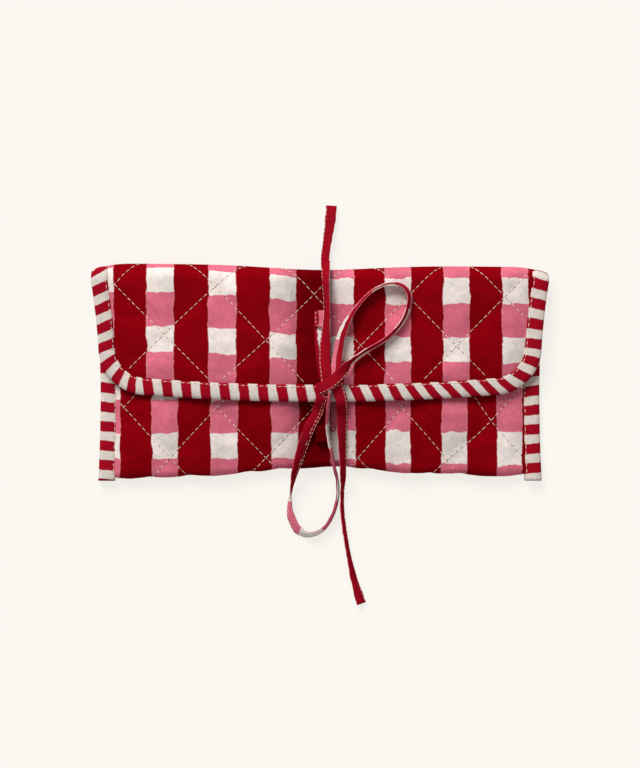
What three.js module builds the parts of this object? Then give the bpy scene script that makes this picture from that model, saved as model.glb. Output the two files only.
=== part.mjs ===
// Quilted glasses case: one quilted strip folded into a pocket and a flap, bound at its edges,
// with a narrow cloth tie in a bow. Millimetres. The case lies on its back: X runs along it,
// Y towards the top fold, Z up off the table. Origin: middle of the case, on the table.

import * as THREE from 'three';

// Outline, over the bindings
const caseWidth = 190.4; // across the top fold
const caseHeight = 90.2; // bottom corners to the highest point of the top fold
const waistDrawIn = 3.7; // each side drawn in at the waist
const bottomDrawIn = 2.7; // each side drawn in at the bottom
const waistHeight = -8; // where the sides are drawn in most
const rightTaper = 1.6; // top and bottom close up by this much at the right end
const bottomArch = 1.5; // bottom edge rises between its corners
const bottomNotch = 2.9; // and is drawn up further by the tie
const topNotch = 2; // top fold is drawn down by the tie
const notchReach = 30; // half length of these two dips
const topCornerDrop = 2.6; // top fold falls at its two ends
const topCornerReach = 16;
const bindingOverhang = 0.6; // side bindings run past the bottom fold

// Quilted sheet
const coverThickness = 0.4;
const waddingThickness = 1.4;
const crushedWadding = 0.2; // wadding under a binding
const liningThickness = 0.4;
const layerGap = 0.1;
const quiltPitch = 41; // between stitch crossings, along X and along Y
const quiltPuff = 0.7; // rise between the stitch lines
const quiltCrossX = -2; // one crossing on the flap and on the front
const flapCrossY = 35;
const frontCrossY = -14.5;

// Pocket and flap
const pocketRoom = 6.2; // height of the space inside, in the middle
const seamRoom = 0.3; // between the linings at the side seams
const foldRoom = 1.2; // height of the space inside at the bottom fold
const fillReach = 32; // the front rises to its full height in this distance
const bottomFoldReach = 3.4; // depth of the bottom fold along Y
const topFoldReach = 7.4; // depth of the top fold along Y
const mouthDrop = 15; // mouth's edge below the top fold
const flapDrop = 57.3; // flap's edge below the top fold
const flapEdgeRise = 2.8; // flap's edge curves up towards its corners
const flapCornerRadius = 20;
const flapClearance = 1; // between the front and the flap
const foldSeamGap = 0.4; // between the three lengths of the strip

// Binding and tie
const bindingWidth = 6.8;
const bindingThickness = 0.6;
const fitGap = 0.3;
const bindingRounding = 0.9;
const bindingNose = 0.7; // share of its inset that a binding's rounded edge has at its shoulders
const bindingFall = 0.35; // share of its inset that the edge has fallen there
const tapeWidth = 4.8;
const tapeThickness = 1;
const anchorLength = 7;
const knotLength = 11.4;
const knotWidth = 7;
const knotHeight = 4.4;
const knotTilt = 24; // degrees from X

// Worked out from the sizes above
const topY = caseHeight / 2;
const foldStartY = topY - topFoldReach;
const mouthY = topY - mouthDrop;
const edgeInset = bindingThickness + fitGap;
const bandMargin = 0.8;
const bandWidth = bindingWidth + bandMargin;
const shoulder = 4;
const sheetThickness = coverThickness + waddingThickness + liningThickness + 2 * layerGap;
const crushedThickness = coverThickness + crushedWadding + liningThickness + 2 * layerGap;
const sideStack = 2 * edgeInset + 2 * crushedThickness + seamRoom;
const quiltStep = quiltPitch / 4;
const dip = (x) => Math.exp(-((x / notchReach) ** 2));

const materials = {
  print: new THREE.MeshStandardMaterial({ color: 0x96041c, roughness: 0.85, metalness: 0 }),
  wadding: new THREE.MeshStandardMaterial({ color: 0xe9e4da, roughness: 0.95, metalness: 0 }),
  lining: new THREE.MeshStandardMaterial({ color: 0xe3dcd2, roughness: 0.9, metalness: 0 }),
  binding: new THREE.MeshStandardMaterial({ color: 0xb01030, roughness: 0.8, metalness: 0 }),
  tie: new THREE.MeshStandardMaterial({ color: 0x9c0a22, roughness: 0.85, metalness: 0 }),
};

// Outline functions
function halfWidth(y) {
  if (y > waistHeight) {
    const share = Math.min(1, (y - waistHeight) / (foldStartY - waistHeight));
    return caseWidth / 2 - waistDrawIn * (1 - share * share);
  }
  const share = (waistHeight - y) / (waistHeight + topY);
  return caseWidth / 2 - waistDrawIn + (waistDrawIn - bottomDrawIn) * share * share;
}

const rightShare = (x) => (x / (caseWidth / 2) + 1) / 2;

function bottomEdgeY(x) {
  const across = x / (caseWidth / 2);
  const arch = bottomArch * (1 - across * across);
  return -topY + bindingOverhang + rightTaper * rightShare(x) + arch + bottomNotch * dip(x);
}

function topEdgeY(x) {
  const past = Math.max(0, Math.abs(x) - (caseWidth / 2 - topCornerReach)) / topCornerReach;
  return topY + bindingThickness / 2 - rightTaper * rightShare(x) - topNotch * dip(x)
    - topCornerDrop * past * past;
}

// Fullness across the case: one in the middle, none at the side bands
function crown(x, y) {
  const share = Math.min(1, Math.abs(x) / (halfWidth(y) - bandWidth));
  return 1 - share ** 4;
}

// Puff of the quilting: none on the diagonal stitch lines, one between them
function puff(x, y, crossY) {
  const along = (x - quiltCrossX) / quiltPitch;
  const up = (y - crossY) / quiltPitch;
  const across = Math.abs(Math.sin(Math.PI * (along + up)) * Math.sin(Math.PI * (along - up)));
  return quiltPuff * Math.sqrt(across);
}

function frontHeight(x, y) {
  const rise = Math.min(1, Math.max(0, (y - bottomEdgeY(x) - bottomFoldReach) / fillReach));
  const filled = Math.sin((rise * Math.PI) / 2);
  const room = foldRoom + (pocketRoom - foldRoom) * filled;
  return 2 * sheetThickness + seamRoom + (room - seamRoom) * crown(x, y);
}

function flapHeight(x, y) {
  const room = seamRoom + (pocketRoom - seamRoom) * crown(x, y);
  return 3 * sheetThickness + room + quiltPuff + flapClearance;
}

// Columns of the sheets: bound edges follow the sides, the rest follow the quilting
const narrowest = caseWidth / 2 - waistDrawIn;
const fieldReach = narrowest - bandWidth - shoulder - quiltStep / 3;
const edgeColumns = [edgeInset, bandWidth, bandWidth + shoulder];
const firstStep = Math.ceil((-fieldReach - quiltCrossX) / quiltStep);
const lastStep = Math.floor((fieldReach - quiltCrossX) / quiltStep);
const fieldColumns = [];
for (let step = firstStep; step <= lastStep; step += 1) {
  fieldColumns.push(quiltCrossX + step * quiltStep);
}

function columnsAt(y) {
  const side = halfWidth(y);
  const left = edgeColumns.map((inset) => ({ x: inset - side, bound: inset <= bandWidth }));
  const right = edgeColumns.map((inset) => ({ x: side - inset, bound: inset <= bandWidth }));
  const field = fieldColumns.map((x) => ({ x, bound: false }));
  return [...left, ...field, ...right.reverse()];
}

// Rows along Y at the quilting's own spacing, strictly between two ends
function quiltRows(low, high, crossY) {
  const rows = [];
  const margin = quiltStep / 3;
  for (let step = Math.ceil((low + margin - crossY) / quiltStep); ; step += 1) {
    const y = crossY + step * quiltStep;
    if (y > high - margin) {
      return rows;
    }
    rows.push(y);
  }
}

// Solid between two grids of points; the outer grid's faces look outwards
function gridSolid(outer, inner) {
  const rows = outer.length;
  const columns = outer[0].length;
  const positions = [];
  for (const grid of [outer, inner]) {
    for (const row of grid) {
      row.forEach((point) => positions.push(point.x, point.y, point.z));
    }
  }
  const index = (layer, r, c) => layer * rows * columns + r * columns + c;
  const triangles = [];
  const quad = (a, b, c, d) => triangles.push(a, b, c, a, c, d);
  for (let r = 0; r + 1 < rows; r += 1) {
    for (let c = 0; c + 1 < columns; c += 1) {
      const corners = [[r, c], [r, c + 1], [r + 1, c + 1], [r + 1, c]];
      const turned = (r + c) % 2 ? [...corners.slice(1), corners[0]] : corners;
      const back = [turned[0], turned[3], turned[2], turned[1]];
      quad(...turned.map(([row, column]) => index(0, row, column)));
      quad(...back.map(([row, column]) => index(1, row, column)));
    }
  }
  const [lastRow, lastColumn] = [rows - 1, columns - 1];
  const rim = (from, to) => quad(index(0, ...from), index(0, ...to), index(1, ...to), index(1, ...from));
  for (let c = 0; c < lastColumn; c += 1) {
    rim([0, c + 1], [0, c]);
    rim([lastRow, c], [lastRow, c + 1]);
  }
  for (let r = 0; r < lastRow; r += 1) {
    rim([r, 0], [r + 1, 0]);
    rim([r + 1, lastColumn], [r, lastColumn]);
  }
  return closedGeometry(positions, triangles);
}

// Solid through a row of equal sections; a flat outline of the section closes its two ends
function sweptSolid(sections, outline) {
  const count = outline.length;
  const positions = sections.flat().flatMap((point) => [point.x, point.y, point.z]);
  const triangles = [];
  for (let s = 0; s + 1 < sections.length; s += 1) {
    for (let p = 0; p < count; p += 1) {
      const next = (p + 1) % count;
      const [here, there] = [s * count, (s + 1) * count];
      triangles.push(here + p, here + next, there + next, here + p, there + next, there + p);
    }
  }
  const last = (sections.length - 1) * count;
  const clockwise = THREE.ShapeUtils.isClockWise(outline);
  for (const [a, b, c] of THREE.ShapeUtils.triangulateShape(outline, [])) {
    const [second, third] = clockwise ? [c, b] : [b, c];
    triangles.push(a, third, second, last + a, last + second, last + third);
  }
  return closedGeometry(positions, triangles);
}

// Geometry with its faces turned outwards
function closedGeometry(positions, triangles) {
  const corner = (i) => new THREE.Vector3().fromArray(positions, 3 * i);
  let volume = 0;
  for (let i = 0; i < triangles.length; i += 3) {
    const [a, b, c] = [0, 1, 2].map((k) => corner(triangles[i + k]));
    volume += a.dot(b.cross(c));
  }
  if (volume < 0) {
    triangles.reverse();
  }
  const geometry = new THREE.BufferGeometry();
  geometry.setAttribute('position', new THREE.Float32BufferAttribute(positions, 3));
  geometry.setIndex(triangles);
  return geometry;
}

const glassesCase = new THREE.Group();
glassesCase.name = 'glasses_case';

function addPiece(name, geometry, material) {
  const mesh = new THREE.Mesh(geometry, material);
  mesh.name = name;
  glassesCase.add(mesh);
}

// Cover, wadding and lining of one length of the strip. A cell knows its place at any depth
// under the outer face, whether a binding covers it, and how far its quilting rises.
function addQuilt(prefix, cells) {
  const layer = (from, to) => gridSolid(
    cells.map((row) => row.map((cell) => cell.place(from(cell)))),
    cells.map((row) => row.map((cell) => cell.place(to(cell)))),
  );
  const inset = (cell) => (cell.bound ? edgeInset : 0);
  const padding = (cell) => (cell.bound ? crushedWadding : waddingThickness);
  const coverOut = (cell) => inset(cell) - cell.puff;
  const coverIn = (cell) => coverOut(cell) + coverThickness;
  const waddingIn = (cell) => inset(cell) + coverThickness + layerGap + padding(cell);
  const liningOut = (cell) => waddingIn(cell) + layerGap;
  const liningIn = (cell) => liningOut(cell) + liningThickness;
  addPiece(`${prefix}_cover`, layer(coverOut, coverIn), materials.print);
  addPiece(`${prefix}_wadding`, layer((cell) => coverIn(cell) + layerGap, waddingIn), materials.wadding);
  addPiece(`${prefix}_lining`, layer(liningOut, liningIn), materials.lining);
}

// Folded strip of binding over an edge. Each stop places a point of the section, given how far
// it lies in from the sheet's edge and how deep under the binding's outer face.
function addBinding(name, stops, stack) {
  const tip = bindingWidth - edgeInset;
  const far = stack + 2 * edgeInset;
  const outline = [
    [tip, 0],
    [bindingRounding - edgeInset, 0],
    [-bindingNose * edgeInset, bindingFall * edgeInset],
    [-edgeInset, far / 2],
    [-bindingNose * edgeInset, far - bindingFall * edgeInset],
    [bindingRounding - edgeInset, far],
    [tip, far],
    [tip, far - bindingThickness],
    [-fitGap, far - bindingThickness],
    [-fitGap, bindingThickness],
    [tip, bindingThickness],
  ].map(([along, depth]) => new THREE.Vector2(along, depth));
  const sections = stops.map((place) => outline.map((point) => place(point.x, point.y)));
  addPiece(name, sweptSolid(sections, outline), materials.binding);
}

// Pocket: back, bottom fold and front in one sheet
const backEndY = foldStartY - foldSeamGap / 2;
const backRows = [backEndY, 0.5 * backEndY, 0, -0.5 * backEndY];
const foldAngles = [-90, -54, -18, 18, 54, 90].map(THREE.MathUtils.degToRad);
const mouthRows = [mouthY - bandWidth, mouthY - edgeInset];
const bottomFoldY = (x) => bottomEdgeY(x) + bottomFoldReach;
const frontTop = (x, y, bound) => (bound ? sideStack : frontHeight(x, y));
const lowestFrontRow = bottomFoldY(0) + quiltStep / 3;
const frontRows = quiltRows(lowestFrontRow, mouthRows[0], frontCrossY);

function backCell(y) {
  return columnsAt(y).map(({ x, bound }) => ({
    bound,
    puff: 0,
    place: (depth) => new THREE.Vector3(x, y, depth),
  }));
}

function bottomFoldCell(angle) {
  return columnsAt(-topY).map(({ x, bound }) => {
    const radius = frontTop(x, bottomFoldY(x), bound) / 2;
    const place = (depth) => new THREE.Vector3(
      x,
      bottomFoldY(x) - (bottomFoldReach - depth) * Math.cos(angle),
      radius + (radius - depth) * Math.sin(angle),
    );
    return { bound, puff: 0, place };
  });
}

function frontCell(y, inMouth) {
  return columnsAt(y).map(({ x, bound }) => ({
    bound: bound || inMouth,
    puff: bound || inMouth ? 0 : puff(x, y, frontCrossY),
    place: (depth) => new THREE.Vector3(x, y, frontTop(x, y, bound) - depth),
  }));
}

addQuilt('pocket', [
  ...backRows.map(backCell),
  ...foldAngles.map(bottomFoldCell),
  ...frontRows.map((y) => frontCell(y, false)),
  ...mouthRows.map((y) => frontCell(y, true)),
]);

// Side bindings hold the front and the back together
const sideRows = [-topY, -0.5 * backEndY, 0, 0.5 * backEndY, backEndY];
const sidePieces = [['left', -1], ['right', 1]];
for (const [name, side] of sidePieces) {
  const stops = sideRows.map((y) => (along, depth) => new THREE.Vector3(
    side * (halfWidth(y) - edgeInset - along), y, sideStack - depth));
  addBinding(`side_binding_${name}`, stops, sideStack - 2 * edgeInset);
}

// Mouth binding runs between the side bindings
const mouthColumns = columnsAt(mouthY).filter((column) => !column.bound).map((column) => column.x);
addBinding('mouth_binding', mouthColumns.map((x) => (along, depth) => {
  const y = mouthY - edgeInset - along;
  return new THREE.Vector3(x, y, frontHeight(x, y) - depth);
}), crushedThickness);

// Top fold
const spineAngles = [-90, -60, -30, 0, 30, 60, 90].map(THREE.MathUtils.degToRad);
const spineStartY = foldStartY + foldSeamGap / 2;

function spinePlace(x, angle, depth) {
  const reach = topEdgeY(x) - spineStartY;
  const radius = flapHeight(x, foldStartY) / 2;
  return new THREE.Vector3(
    x,
    spineStartY + (reach - depth) * Math.cos(angle),
    radius + (radius - depth) * Math.sin(angle),
  );
}

addQuilt('spine', spineAngles.map((angle) => columnsAt(foldStartY).map(({ x, bound }) => ({
  bound,
  puff: 0,
  place: (depth) => spinePlace(x, angle, depth),
}))).reverse());

for (const [name, side] of sidePieces) {
  const insetX = (inset) => side * (halfWidth(foldStartY) - inset);
  const stops = spineAngles.map((angle) => (along, depth) => {
    const edge = spinePlace(insetX(edgeInset), angle, depth);
    return edge.lerp(spinePlace(insetX(bandWidth), angle, depth), along / (bandWidth - edgeInset));
  });
  addBinding(`spine_binding_${name}`, stops, crushedThickness);
}

// Flap: a sheet with two round corners. Its outline is followed at any distance in from the edge.
const flapStartY = foldStartY - foldSeamGap / 2;
const flapEdgeY = topY - flapDrop;
const cornerCentreY = flapEdgeY + flapEdgeRise + flapCornerRadius;
const cornerCentreX = halfWidth(cornerCentreY) - flapCornerRadius;
const edgeRise = (x) => flapEdgeRise * Math.min(1, (x / cornerCentreX) ** 2);
const sideRowsBetween = quiltRows(cornerCentreY, flapStartY, flapCrossY).reverse();
const straightRows = [flapStartY, ...sideRowsBetween, cornerCentreY];

function cornerPoint(side, degrees, inset) {
  const angle = THREE.MathUtils.degToRad(degrees);
  const radius = flapCornerRadius - inset;
  return new THREE.Vector2(
    side * (cornerCentreX + radius * Math.cos(angle)),
    cornerCentreY - radius * Math.sin(angle),
  );
}

function sideCurve(side, inset, angles) {
  const straight = straightRows.map((y) => new THREE.Vector2(side * (halfWidth(y) - inset), y));
  return [...straight, ...angles.map((degrees) => cornerPoint(side, degrees, inset))];
}

const bottomColumns = fieldColumns.filter((x) => Math.abs(x) < cornerCentreX - quiltStep / 3);

function bottomCurve(inset, angles) {
  const middle = bottomColumns.map((x) => new THREE.Vector2(x, flapEdgeY + edgeRise(x) + inset));
  const left = angles.map((degrees) => cornerPoint(-1, degrees, inset));
  const right = angles.map((degrees) => cornerPoint(1, degrees, inset)).reverse();
  return [...left, ...middle, ...right];
}

const ringSideAngles = [15, 30, 45];
const ringBottomAngles = [45, 60, 75, 90];
const edgeSideAngles = [13, 26, 39, 45];
const edgeBottomAngles = [51, 64, 77, 90];

function shares(points) {
  const lengths = [0];
  points.slice(1).forEach((point, i) => lengths.push(lengths[i] + point.distanceTo(points[i])));
  return lengths.map((length) => length / lengths[lengths.length - 1]);
}

// Points inside the ring are blended from its two sides, its lower edge and the fold line
function flapGrid() {
  const ringLeft = sideCurve(-1, bandWidth, ringSideAngles);
  const ringRight = sideCurve(1, bandWidth, ringSideAngles);
  const ringBottom = bottomCurve(bandWidth, ringBottomAngles);
  const across = shares(ringBottom);
  const down = shares(ringLeft);
  const top = across.map((u) => ringLeft[0].clone().lerp(ringRight[0], u));
  const lastColumn = ringBottom.length - 1;
  const grid = ringLeft.map((leftPoint, r) => ringBottom.map((bottomPoint, c) => {
    const [u, v] = [across[c], down[r]];
    const blend = (key) => (1 - v) * top[c][key] + v * bottomPoint[key]
      + (1 - u) * leftPoint[key] + u * ringRight[r][key]
      - (1 - v) * ((1 - u) * top[0][key] + u * top[lastColumn][key])
      - v * ((1 - u) * ringBottom[0][key] + u * ringBottom[lastColumn][key]);
    const bound = c === 0 || c === lastColumn || r === ringLeft.length - 1;
    return { x: blend('x'), y: blend('y'), bound };
  }));
  const edgeLeft = sideCurve(-1, edgeInset, edgeSideAngles);
  const edgeRight = sideCurve(1, edgeInset, edgeSideAngles);
  const edgeBottom = bottomCurve(edgeInset, edgeBottomAngles);
  const onEdge = (point) => ({ x: point.x, y: point.y, bound: true });
  const rows = grid.map((row, r) => [onEdge(edgeLeft[r]), ...row, onEdge(edgeRight[r])]);
  const lastRow = grid.length;
  rows.push([onEdge(edgeLeft[lastRow]), ...edgeBottom.map(onEdge), onEdge(edgeRight[lastRow])]);
  return rows;
}

const flapRows = flapGrid();
const fadeReach = 8;

function flapPuff(x, y) {
  const fade = Math.min(1, (flapStartY - y) / fadeReach);
  return fade * puff(x, y, flapCrossY);
}

addQuilt('flap', flapRows.map((row) => row.map(({ x, y, bound }) => ({
  bound,
  puff: bound ? 0 : flapPuff(x, y),
  place: (depth) => new THREE.Vector3(x, y, flapHeight(x, y) - depth),
}))));

// Flap binding: down one side, round the lower edge and up the other side
function flapBindingStops() {
  const last = flapRows.length - 1;
  const right = flapRows[0].length - 1;
  const pairs = [];
  for (let r = 0; r < last; r += 1) {
    pairs.push([flapRows[r][0], flapRows[r][1]]);
  }
  pairs.push([flapRows[last][0], flapRows[last - 1][1]]);
  for (let c = 1; c < right; c += 1) {
    pairs.push([flapRows[last][c], flapRows[last - 1][c]]);
  }
  pairs.push([flapRows[last][right], flapRows[last - 1][right - 1]]);
  for (let r = last - 1; r >= 0; r -= 1) {
    pairs.push([flapRows[r][right], flapRows[r][right - 1]]);
  }
  return pairs.map(([edge, ring]) => {
    const edgePoint = new THREE.Vector3(edge.x, edge.y, flapHeight(edge.x, edge.y));
    const ringPoint = new THREE.Vector3(ring.x, ring.y, flapHeight(ring.x, ring.y));
    return (along, depth) => {
      const place = edgePoint.clone().lerp(ringPoint, along / (bandWidth - edgeInset));
      return place.setZ(place.z - depth);
    };
  });
}

addBinding('flap_binding', flapBindingStops(), crushedThickness);

// Tie. Heights of what it lies on, in the middle of the case
const flapTop = flapHeight(0, 0) + quiltPuff;
const liePoint = tapeThickness / 2 + fitGap;
const onFlap = flapTop + liePoint;
const onTable = liePoint;

const tapeCorners = [
  [1, 0.5], [0.9, 1], [-0.9, 1], [-1, 0.5], [-1, -0.5], [-0.9, -1], [0.9, -1], [1, -0.5],
];

// Flat tape along a hand-laid route of x, y, z and roll in degrees: 0 lies flat, 90 stands on edge
function addTape(name, route, steps, thickness = tapeThickness) {
  const tapeOutline = tapeCorners.map(([across, through]) => new THREE.Vector2(
    (across * tapeWidth) / 2, (through * thickness) / 2));
  const curve = new THREE.CatmullRomCurve3(route.map(([x, y, z]) => new THREE.Vector3(x, y, z)));
  const rollCurve = new THREE.SplineCurve(route.map(([, , , roll], i) => new THREE.Vector2(i, roll)));
  const sections = [];
  for (let step = 0; step <= steps; step += 1) {
    const t = step / steps;
    const centre = curve.getPoint(t);
    const tangent = curve.getTangent(t);
    const roll = THREE.MathUtils.degToRad(rollCurve.getPoint(t).y);
    const level = tangent.clone().cross(new THREE.Vector3(0, 0, 1)).normalize();
    const lift = level.clone().cross(tangent);
    const across = level.clone().multiplyScalar(Math.cos(roll)).addScaledVector(lift, Math.sin(roll));
    const through = across.clone().cross(tangent);
    sections.push(tapeOutline.map((point) => centre.clone()
      .addScaledVector(across, point.x).addScaledVector(through, point.y)));
  }
  addPiece(name, sweptSolid(sections, tapeOutline), materials.tie);
}

// Folded, box-stitched end of a tie: two layers of tape on the sheet below it
function addAnchor(name, { x, y }, sheetTop) {
  const ends = [y - anchorLength / 2, y + anchorLength / 2];
  const route = ends.map((end) => [x, end, sheetTop(end) + fitGap + tapeThickness, 0]);
  addTape(name, route, 1, 2 * tapeThickness);
}

const frontTopAt = (y) => frontHeight(0, y) + quiltPuff;
const onFront = (y) => frontTopAt(y) + liePoint;
const flapAnchor = { x: 0.2, y: 22 };
const bodyAnchor = { x: 0.6, y: -25.5 };
addAnchor('flap_tie_anchor', flapAnchor, () => flapTop);
addAnchor('body_tie_anchor', bodyAnchor, frontTopAt);

addTape('flap_tie', [
  [0.2, flapAnchor.y - anchorLength / 2 - fitGap, onFlap, 0],
  [0.4, 12, onFlap, 0],
  [0.9, 5, onFlap, 0],
  [1.4, 0.4, onFlap, 0],
], 4);

const bodyTieStart = bodyAnchor.y + anchorLength / 2 + fitGap;
addTape('body_tie', [
  [0.6, bodyTieStart, onFront(bodyTieStart), 0],
  [0.8, -18, onFront(-18), 0],
  [1, -14, onFront(-14), 0],
], 3);

// Knot: a tape wrapped once round the strands, as a fat rounded band
const knotCentre = new THREE.Vector3(4.2, -5.8, flapTop + fitGap + knotHeight / 2);

function addKnot() {
  const turn = THREE.MathUtils.degToRad(knotTilt);
  const sides = 10;
  const stations = [[-1, 0.62], [-0.82, 0.9], [0, 1], [0.82, 0.9], [1, 0.62]]; // share along, girth
  const ring = Array.from({ length: sides }, (_, i) => (2 * Math.PI * i) / sides);
  const outline = ring.map((angle) => new THREE.Vector2(Math.cos(angle), Math.sin(angle)));
  const sections = stations.map(([along, size]) => outline.map((point) => new THREE.Vector3(
    (along * knotLength) / 2,
    (point.x * size * knotWidth) / 2,
    (point.y * size * knotHeight) / 2,
  ).applyAxisAngle(new THREE.Vector3(0, 0, 1), turn).add(knotCentre)));
  addPiece('bow_knot', sweptSolid(sections, outline), materials.tie);
}

addKnot();

// Strands of the bow
const overAnchor = flapTop + 2 * tapeThickness + 2 * fitGap + tapeThickness / 2;
const onEdgeFlap = flapTop + fitGap + tapeWidth / 2;

addTape('upper_tail', [
  [2.4, -1.2, onFlap + 2.6, 0],
  [2.2, 4, onFlap + 1.6, 0],
  [2.4, 12, onFlap + 1.5, 0],
  [2.6, 19, overAnchor, 0],
  [2.8, 25, overAnchor, 0],
  [2.6, 31, onFlap + 0.7, 0],
  [2.4, flapStartY, onFlap - 0.4, 0],
], 12);

addTape('upper_loop', [
  [7.2, 0.2, onFlap + 3, 40],
  [8, 8, onEdgeFlap + 0.4, 55],
  [9.6, 17, onEdgeFlap + 0.2, 70],
  [14.4, 26, onEdgeFlap, 85],
  [21.6, 33.5, onEdgeFlap, 90],
  [29, 36.4, onEdgeFlap, 90],
  [35, 35, onEdgeFlap, 90],
  [37.2, 30.6, onEdgeFlap, 90],
  [34.6, 22, onEdgeFlap, 85],
  [28, 14.6, onEdgeFlap, 70],
  [19, 9, onEdgeFlap, 60],
  [12.6, 4, onEdgeFlap, 60],
  [9.8, 0.6, onEdgeFlap + 0.1, 60],
], 24);

const bendReach = topEdgeY(0) - spineStartY + liePoint;
const foldMiddle = flapHeight(0, foldStartY) / 2;
const bendRadius = foldMiddle + liePoint;
const bendPoint = (degrees) => {
  const angle = THREE.MathUtils.degToRad(degrees);
  return [
    2.4,
    spineStartY + bendReach * Math.cos(angle),
    foldMiddle + bendRadius * Math.sin(angle),
    0,
  ];
};
addTape('upper_tail_bend', [84, 68, 52, 36, 18, 0, -18, -34].map(bendPoint), 9);

addTape('upper_tail_end', [
  [2.4, 43.4, 2, 0],
  [2.5, 44.8, 1, 0],
  [2.7, 47.4, onTable, 0],
  [3.4, 51.6, onTable, 0],
  [3.9, 56.6, onTable, 0],
  [4.4, 63, onTable, 0],
  [4.8, 69.6, onTable, 0],
], 10);

const overEdge = onFlap + 0.5;
const onEdgeFront = (y) => frontTopAt(y) + fitGap + tapeWidth / 2;
const onEdgeTable = fitGap + tapeWidth / 2;

addTape('lower_loop', [
  [0.4, -10.95, overEdge + 0.6, 0],
  [-0.8, -16.4, onFront(-16.4) + 2, 0],
  [-4.8, -23.9, onFront(-23.9) + 2, 0],
  [-7.8, -32.6, onFront(-32.6) + 0.3, 5],
  [-9.4, -38.8, 7.6, 15],
  [-10.6, -43.6, 4.6, 50],
  [-11.8, -50, onEdgeTable + 0.4, 85],
  [-12.4, -58.4, onEdgeTable, 80],
  [-10.4, -64.6, onEdgeTable, 75],
  [-5.2, -67.9, onEdgeTable, 80],
  [1, -65.6, onEdgeTable, 85],
  [5, -59.6, onEdgeTable, 90],
  [6.6, -51, onEdgeTable + 0.4, 90],
  [6.4, -44.4, 5, 90],
  [6, -39, 8.9, 90],
  [5.2, -33, onEdgeFront(-33) + 0.2, 90],
  [4.4, -23, onEdgeFront(-23), 90],
  [4.1, -15, overEdge - 0.8, 90],
  [4.2, -10.2, overEdge + 0.9, 90],
], 28);

addTape('lower_tail', [
  [8.8, -9.1, overEdge + 0.8, 0],
  [9, -12.8, overEdge, 0],
  [9.2, -17.6, onFront(-17.6) + 0.8, 0],
  [9.2, -25, onFront(-25) + 0.1, 0],
  [9.4, -33.2, onFront(-33.2) + 0.1, 0],
  [9.6, -39, 7.3, 5],
  [9.9, -44, 4.2, 30],
  [10, -49.6, 2.6, 60],
  [9.8, -57, onTable + 1.6, 60],
  [10.4, -66, onTable + 1.4, 50],
  [12, -77, onTable + 1, 30],
  [14.4, -87, onTable + 0.4, 10],
  [17.4, -96.6, onTable, 0],
], 16);

export default glassesCase;
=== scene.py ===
# %% [markdown]
# # A quilted glasses case with a cloth tie
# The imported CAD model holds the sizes, the places and the joints. This lesson dresses it: every
# soft piece is built again as cloth, binding, tape and thread, in metres and in the CAD frame.
# The case lies on its back, with X along it, Y towards its top fold and Z up off the table.

# %% Load the frame
import math

import bmesh
import bpy
from mathutils import Matrix, Vector, noise


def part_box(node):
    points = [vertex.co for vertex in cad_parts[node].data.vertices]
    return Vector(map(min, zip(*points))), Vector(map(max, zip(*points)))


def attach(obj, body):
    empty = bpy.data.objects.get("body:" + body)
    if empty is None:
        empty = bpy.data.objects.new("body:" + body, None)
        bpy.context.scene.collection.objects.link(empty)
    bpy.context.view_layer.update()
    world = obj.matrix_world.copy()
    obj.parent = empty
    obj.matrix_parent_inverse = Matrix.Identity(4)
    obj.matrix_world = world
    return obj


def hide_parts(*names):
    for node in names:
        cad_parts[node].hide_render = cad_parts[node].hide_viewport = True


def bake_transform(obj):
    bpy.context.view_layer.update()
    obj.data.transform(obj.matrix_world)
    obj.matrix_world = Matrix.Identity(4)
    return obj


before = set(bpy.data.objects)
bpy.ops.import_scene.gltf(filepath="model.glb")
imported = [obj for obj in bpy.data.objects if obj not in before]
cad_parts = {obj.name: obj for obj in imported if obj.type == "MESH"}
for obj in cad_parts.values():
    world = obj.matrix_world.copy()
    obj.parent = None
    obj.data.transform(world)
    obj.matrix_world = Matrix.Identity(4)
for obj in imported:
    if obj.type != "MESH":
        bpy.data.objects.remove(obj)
scene = bpy.context.scene
scene.view_settings.view_transform = "Standard"
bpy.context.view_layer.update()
mm = 0.001
upward = Vector((0, 0, 1))

# %% [markdown]
# ## Helpers
# A material is a tree of nodes, and these short functions write one as a formula. The last of
# them puts a new object into the scene.

# %% Helpers
def new_finish(name, roughness):
    finish = bpy.data.materials.new(name)
    finish.use_nodes = True
    shader = finish.node_tree.nodes["Principled BSDF"]
    shader.inputs["Roughness"].default_value = roughness
    shader.inputs["Specular IOR Level"].default_value = 0
    return finish, finish.node_tree, shader


def feed(tree, socket, value):
    """Gives a socket its value: what another socket puts out, a number or a colour."""
    if isinstance(value, bpy.types.NodeSocket):
        tree.links.new(value, socket)
    else:
        socket.default_value = value


def maths(tree, operation, *values):
    """A Math node of that operation on sockets or plain numbers."""
    node = tree.nodes.new("ShaderNodeMath")
    node.operation = operation
    for socket, value in zip(node.inputs, values):
        feed(tree, socket, value)
    return node.outputs[0]


def mixed(tree, share, first, second, blend="MIX"):
    """Two colours mixed by a share; each is a socket or four numbers."""
    node = tree.nodes.new("ShaderNodeMix")
    node.data_type = "RGBA"
    node.blend_type = blend
    feed(tree, node.inputs["Factor"], share)
    feed(tree, node.inputs[6], first)
    feed(tree, node.inputs[7], second)
    return node.outputs[2]


def below(tree, value, limit, softness):
    """One where value is under the limit, zero above, with a soft edge."""
    node = tree.nodes.new("ShaderNodeMapRange")
    node.interpolation_type = "SMOOTHSTEP"
    tree.links.new(value, node.inputs["Value"])
    node.inputs["From Min"].default_value = limit - softness
    node.inputs["From Max"].default_value = limit + softness
    node.inputs["To Min"].default_value = 1
    node.inputs["To Max"].default_value = 0
    return node.outputs["Result"]


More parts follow.
